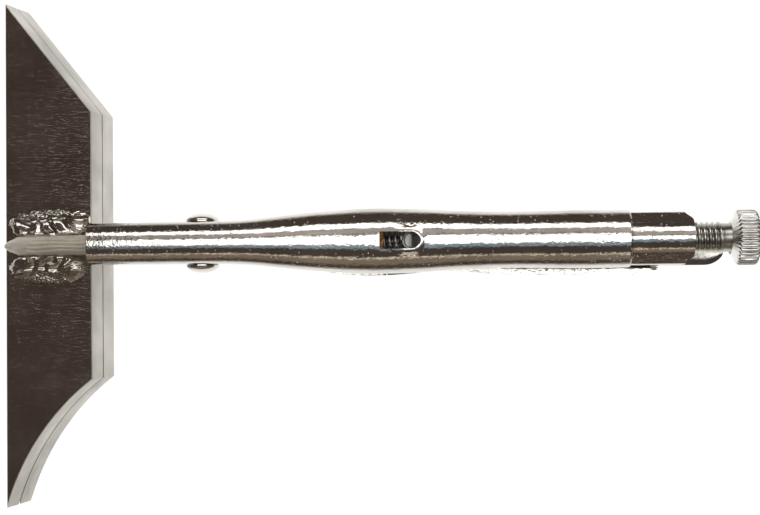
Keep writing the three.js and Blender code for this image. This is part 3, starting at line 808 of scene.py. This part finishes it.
# ---- turned pieces ----
def acrossTool(bm, at):
    # turns a piece made along +X to lie across the tool
    bmesh.ops.rotate(bm, verts=bm.verts, cent=(0, 0, 0), matrix=Matrix.Rotation(math.pi / 2, 3, "Z"))
    bmesh.ops.translate(bm, verts=bm.verts, vec=at)
    return bm


pivotRivet = {"shank": 3.0, "half": 6.4, "head": 5.0, "rise": 2.35}


def makePivotRivet():
    r = pivotRivet
    turns = [math.radians(a) for a in range(9, 90, 9)]
    crown = [(r["half"] + 0.2 + r["rise"] * math.sin(a), r["head"] * math.cos(a)) for a in turns]
    dome = [(r["half"] - 0.05, r["head"] - 0.5), (r["half"] + 0.1, r["head"] - 0.1), *crown]
    side = [(r["half"] - 0.05, r["shank"]), *dome]
    stations = [(-x, q, 0) for x, q in reversed(side)] + [(x, q, 0) for x, q in side]
    bm = acrossTool(turnedStack(stations, 64), (0, 0, 0))
    return addPiece("pivotRivet", bm, "upper_body", "rivet", ["jaw_pivot_rivet"])


screw = {
    "pitch": 1.5875, "major": 4.76, "root": 3.66, "tip": 93.0, "threadEnd": 154.0,
    "neck": 4.2, "neckEnd": 156.6,
}


def makeScrew():
    s = screw
    steps = 36
    turns = int((s["threadEnd"] - s["tip"]) / s["pitch"]) + 3
    bm = bmesh.new()
    # one thread: share of the pitch, radius
    outline = [
        (0, s["root"]), (0.36, s["major"] - 0.06), (0.43, s["major"]), (0.52, s["major"]),
        (0.59, s["major"] - 0.06), (0.95, s["root"]), (1, s["root"]),
    ]
    first = s["tip"] - 1.5 * s["pitch"]
    verts = [bm.verts.new((first + share * s["pitch"], 0, r)) for share, r in outline]
    edges = [bm.edges.new(pair) for pair in zip(verts, verts[1:])]
    bmesh.ops.spin(
        bm, geom=verts + edges, cent=(0, 0, 0), axis=(1, 0, 0), dvec=(s["pitch"] / steps, 0, 0),
        angle=2 * math.pi * turns, steps=steps * turns, use_merge=False,
    )
    bmesh.ops.remove_doubles(bm, verts=bm.verts, dist=0.01)
    for x, way in ((s["tip"] + 0.05, -1), (s["threadEnd"], 1)):
        bmesh.ops.bisect_plane(
            bm, geom=bm.verts[:] + bm.edges[:] + bm.faces[:], plane_co=(x, 0, 0), plane_no=(way, 0, 0),
            clear_outer=True,
        )
    rims = [e for e in bm.edges if e.is_boundary]
    bmesh.ops.triangle_fill(bm, edges=rims, use_beauty=True)
    bmesh.ops.recalc_face_normals(bm, faces=bm.faces)
    neck = [
        (s["threadEnd"] - 1.0, 3.8, 0), (s["threadEnd"] + 0.1, 4.3, 0), (s["threadEnd"] + 0.4, s["neck"], 0),
        (s["neckEnd"], s["neck"], 0),
    ]
    mergeInto(bm, turnedStack(neck, 48))
    bmesh.ops.translate(bm, verts=bm.verts, vec=(0, 0, upperHandle["axis"]))
    return addPiece("threadedRod", bm, "screw_body", "screw", ["adjusting_screw"], 30)


knob = {"teeth": 36, "depth": 0.75, "radius": 8.13, "start": 156.3, "end": 164.45}


def makeKnob():
    k = knob

    def toothAt(angle):
        wave = 0.5 - 0.5 * math.cos(k["teeth"] * angle)
        return wave**1.6

    r, d = k["radius"], k["depth"]
    stations = [
        (k["start"], 4.2, 0), (k["start"], 4.9, 0), (k["start"] + 0.2, 5.1, 0),
        (k["start"] + 1.5, r - 1.0, 0),
        (k["start"] + 1.9, r - 0.4, 0.4 * d), (k["start"] + 2.3, r, d), (k["start"] + 4.5, r, d),
        (k["end"] - 1.2, r, d), (k["end"] - 0.7, r - 0.25, 0.5 * d), (k["end"] - 0.35, r - 0.8, 0),
        (k["end"] - 0.15, r - 2.2, 0), (k["end"], r - 5, 0),
    ]
    bm = turnedStack(stations, k["teeth"] * 8, toothAt)
    bmesh.ops.translate(bm, verts=bm.verts, vec=(0, 0, upperHandle["axis"]))
    return addPiece("knurledKnob", bm, "knob_body", "knob", ["knurled_knob"], 45)


makePivotRivet()
makeScrew()
makeKnob()
print("rivet, screw and knob turned")


# ---- release lever ----
lever = {
    "path": [
        (63.6, -13.2), (72, -17.2), (84, -20.4), (100, -21.8), (118, -23.2), (136, -26.6), (150, -29.0),
        (160.2, -30.3),
    ],
    "nose": 3.0, "half": 6.5, "skew": -1.1, "thick": 1.8, "columns": 110, "across": 18,
}


def makeReleaseLever():
    spec = lever
    tail = spec["path"][-1][0]

    def halfAt(x):
        wide = spec["nose"] + (spec["half"] - spec["nose"]) * ease((x - 80) / 14)
        back = tail - x
        if back < 6:
            wide *= math.sqrt(max(0.02, 1 - (1 - back / 6) ** 2 * 0.72))
        return wide

    bm = bmesh.new()
    bmesh.ops.create_grid(bm, x_segments=spec["columns"], y_segments=spec["across"], size=0.5)
    for v in bm.verts:
        x = spec["path"][0][0] + (tail - spec["path"][0][0]) * (v.co.x + 0.5)
        height = rowAt(spec["path"], x)[0]
        b = v.co.y * 2
        curl = 0.55 * ease((abs(b) - 0.7) / 0.3) * ease((x - 96) / 10)
        v.co = (x, b * halfAt(x) + spec["skew"] * ease((x - 112) / 30), height - curl)
    bm.normal_update()
    if next(iter(bm.faces)).normal.z < 0:
        bmesh.ops.reverse_faces(bm, faces=bm.faces)
    obj = addPiece("releaseLeverStrip", bm, "release_body", "lever", ["release_lever"])
    finishSheet(obj, spec["thick"], 0.4)
    at = toolPoint(jointAt["release_lever_pivot"])
    for name, way in (("releaseCheekLeft", 1), ("releaseCheekRight", -1)):
        outline = [(94, -22), (95.6, at.z), *arcPoints((at.x, at.z), 4.4, 190, 350, 14), (110, -23)]
        cheek = slab(outline, 1.7, 0.3)
        bmesh.ops.translate(cheek, verts=cheek.verts, vec=(0, way * (spec["half"] - 0.9), 0))
        addPiece(name, cheek, "release_body", "lever")
    return obj


makeReleaseLever()
print("release lever bent")


# ---- spring ----
spring = {"coil": 2.6, "wire": 0.55, "turns": 26, "hook": (11.0, -8.0), "top": (61.4, 7.4), "loop": 2.6}


def makeSpring():
    s = spring
    start, end = Vector(s["hook"]), Vector(s["top"])
    length = (end - start).length
    first, last = 2 * s["loop"] - 0.3, length - 0.4
    bm = bmesh.new()
    steps = 16
    pitch = (last - first) / s["turns"]
    ring = bmesh.ops.create_circle(bm, segments=10, radius=s["wire"])["verts"]
    bmesh.ops.rotate(bm, verts=ring, cent=(0, 0, 0), matrix=Matrix.Rotation(math.pi / 2, 3, "X"))
    bmesh.ops.translate(bm, verts=ring, vec=(first, 0, s["coil"]))
    edges = list(bm.edges)
    bmesh.ops.spin(
        bm, geom=ring + edges, cent=(0, 0, 0), axis=(1, 0, 0), dvec=(pitch / steps, 0, 0),
        angle=2 * math.pi * s["turns"], steps=steps * s["turns"], use_merge=False,
    )
    for centre in (s["loop"], last + s["loop"] - 0.4):
        hook = bmesh.new()
        circle = bmesh.ops.create_circle(hook, segments=10, radius=s["wire"])["verts"]
        bmesh.ops.rotate(hook, verts=circle, cent=(0, 0, 0), matrix=Matrix.Rotation(math.pi / 2, 3, "Y"))
        bmesh.ops.translate(hook, verts=circle, vec=(0, s["loop"], 0))
        bmesh.ops.spin(
            hook, geom=circle + list(hook.edges), cent=(0, 0, 0), axis=(0, 0, 1), angle=2 * math.pi, steps=40,
            use_merge=True,
        )
        bmesh.ops.remove_doubles(hook, verts=hook.verts, dist=0.001)
        bmesh.ops.translate(hook, verts=hook.verts, vec=(centre, 0, 0))
        mergeInto(bm, hook)
    rims = [e for e in bm.edges if e.is_boundary]
    bmesh.ops.holes_fill(bm, edges=rims, sides=12)
    bmesh.ops.recalc_face_normals(bm, faces=bm.faces)
    lean = math.atan2(end.y - start.y, end.x - start.x)
    bmesh.ops.rotate(bm, verts=bm.verts, cent=(0, 0, 0), matrix=Matrix.Rotation(-lean, 3, "Y"))
    bmesh.ops.translate(bm, verts=bm.verts, vec=(start.x, 0, start.y))
    obj = addPiece("jawSpringCoils", bm, None, "spring", ["jaw_spring"], 60)
    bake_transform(obj)
    return obj


makeSpring()
print("spring wound")

# ---- CAD nodes that stay, with eased edges and their own finish ----
kept = {
    "movable_jaw": ("forged", "plated_forging", 0.55),
    "toggle_link": ("forged", "plated_forging", 0.5),
    "fixed_jaw_rivet_front": ("rivet", "plated_rivet", 0.25),
    "fixed_jaw_rivet_rear": ("rivet", "plated_rivet", 0.25),
    "lever_pivot_rivet": ("rivet", "plated_rivet", 0.25),
    "link_pivot_rivet": ("rivet", "plated_rivet", 0.25),
    "release_lever_rivet": ("rivet", "plated_rivet", 0.25),
}


def finishKept(name, finish, bevel):
    obj = frame["nodes"][name]
    obj.data.materials.clear()
    obj.data.materials.append(materials[finish])
    join = obj.modifiers.new("join", "WELD")
    join.merge_threshold = 0.00001
    edge = obj.modifiers.new("edge", "BEVEL")
    edge.width = bevel * mm
    edge.segments = 2
    edge.limit_method = "ANGLE"
    edge.angle_limit = math.radians(40)


for name, (finish, slotName, bevel) in kept.items():
    finishKept(name, finish, bevel)
print("kept nodes finished:", len(kept))


# ---- floor and light ----
studio = {
    # floor and glow paint a pool of light and a glow onto the sheet, bright in the middle and falling off outward
    "floor": [(0.0, (0.86, 0.86, 0.86)), (0.4, (0.86, 0.86, 0.86)), (0.9, (0.6, 0.59, 0.58))],
    "glow": [(0.0, (0.7, 0.7, 0.7)), (0.34, (0.7, 0.7, 0.7)), (0.8, (0.14, 0.14, 0.14))],
    "spread": (0.85, 1.0, 1), "drop": 0.15,
    "room": (0.075, 0.058, 0.048),
    "reach": 1.5, "middle": 0.08,
    # name, degrees from straight up toward +Y, degrees wide, length, brightness, colour
    "lights": [
        ("leftBank", 48, 20, 1.7, 2.6, (1.0, 0.99, 0.98)),
        ("leftCeiling", 25, 20, 1.7, 0.42, (1.0, 0.92, 0.9)),
        ("overhead", 3, 15, 1.7, 2.6, (1.0, 1.0, 0.99)),
        ("overheadCool", -13, 14, 1.7, 0.36, (0.5, 0.78, 1.0)),
        ("rightWall", -66, 26, 1.9, 0.17, (1.0, 0.78, 0.56)),
        ("rightLine", -57, 3, 1.7, 0.9, (1.0, 0.95, 0.86)),
    ],
}


def makeStudio():
    bm = bmesh.new()
    bmesh.ops.create_grid(bm, x_segments=1, y_segments=1, size=4)
    # low enough for the opened handle to clear it
    bmesh.ops.translate(bm, verts=bm.verts, vec=(0, 0, -studio["drop"]))
    mesh = bpy.data.meshes.new("floor")
    bm.to_mesh(mesh)
    bm.free()
    floor = bpy.data.objects.new("floor", mesh)
    bpy.context.scene.collection.objects.link(floor)
    paintedFloorLight = bpy.data.materials.new("floorPaintedLight")
    paintedFloorLight.use_nodes = True
    shader = paintedFloorLight.node_tree.nodes["Principled BSDF"]
    shader.inputs["Roughness"].default_value = 0.9
    # the sheet glows by emission, as painted light
    shader.inputs["Emission Strength"].default_value = 1.0
    # painted light: the sheet's colour and its emitted glow are bright under the part and fall off around it
    tree = paintedFloorLight.node_tree
    spot = addNode(tree, "ShaderNodeTexCoord").outputs["Object"]
    onFloor = {"Location": (0, 0, studio["drop"]), "Scale": studio["spread"]}
    zoom = addNode(tree, "ShaderNodeMapping", onFloor)
    tree.links.new(spot, zoom.inputs["Vector"])
    reach = addNode(tree, "ShaderNodeVectorMath", operation="LENGTH")
    tree.links.new(zoom.outputs["Vector"], reach.inputs[0])
    tree.links.new(addRamp(tree, reach.outputs["Value"], studio["floor"]), shader.inputs["Base Color"])
    tree.links.new(addRamp(tree, reach.outputs["Value"], studio["glow"]), shader.inputs["Emission Color"])
    mesh.materials.append(paintedFloorLight)
    world = bpy.data.worlds.new("room")
    world.use_nodes = True
    world.node_tree.nodes["Background"].inputs["Color"].default_value = (*studio["room"], 1)
    bpy.context.scene.world = world
    for name, tilt, wide, along, glow, colour in studio["lights"]:
        data = bpy.data.lights.new(name, "AREA")
        data.shape = "RECTANGLE"
        data.size = along
        data.size_y = across = math.radians(wide) * studio["reach"]
        data.energy = glow * math.pi * along * across
        data.color = colour
        lamp = bpy.data.objects.new(name, data)
        bpy.context.scene.collection.objects.link(lamp)
        turn = Matrix.Rotation(-math.radians(tilt), 4, "X")
        centre = Matrix.Translation((studio["middle"], 0, 0.03))
        lamp.matrix_world = centre @ turn @ Matrix.Translation((0, 0, studio["reach"]))
    bpy.context.scene.view_settings.view_transform = "Standard"


makeStudio()
print("studio set")
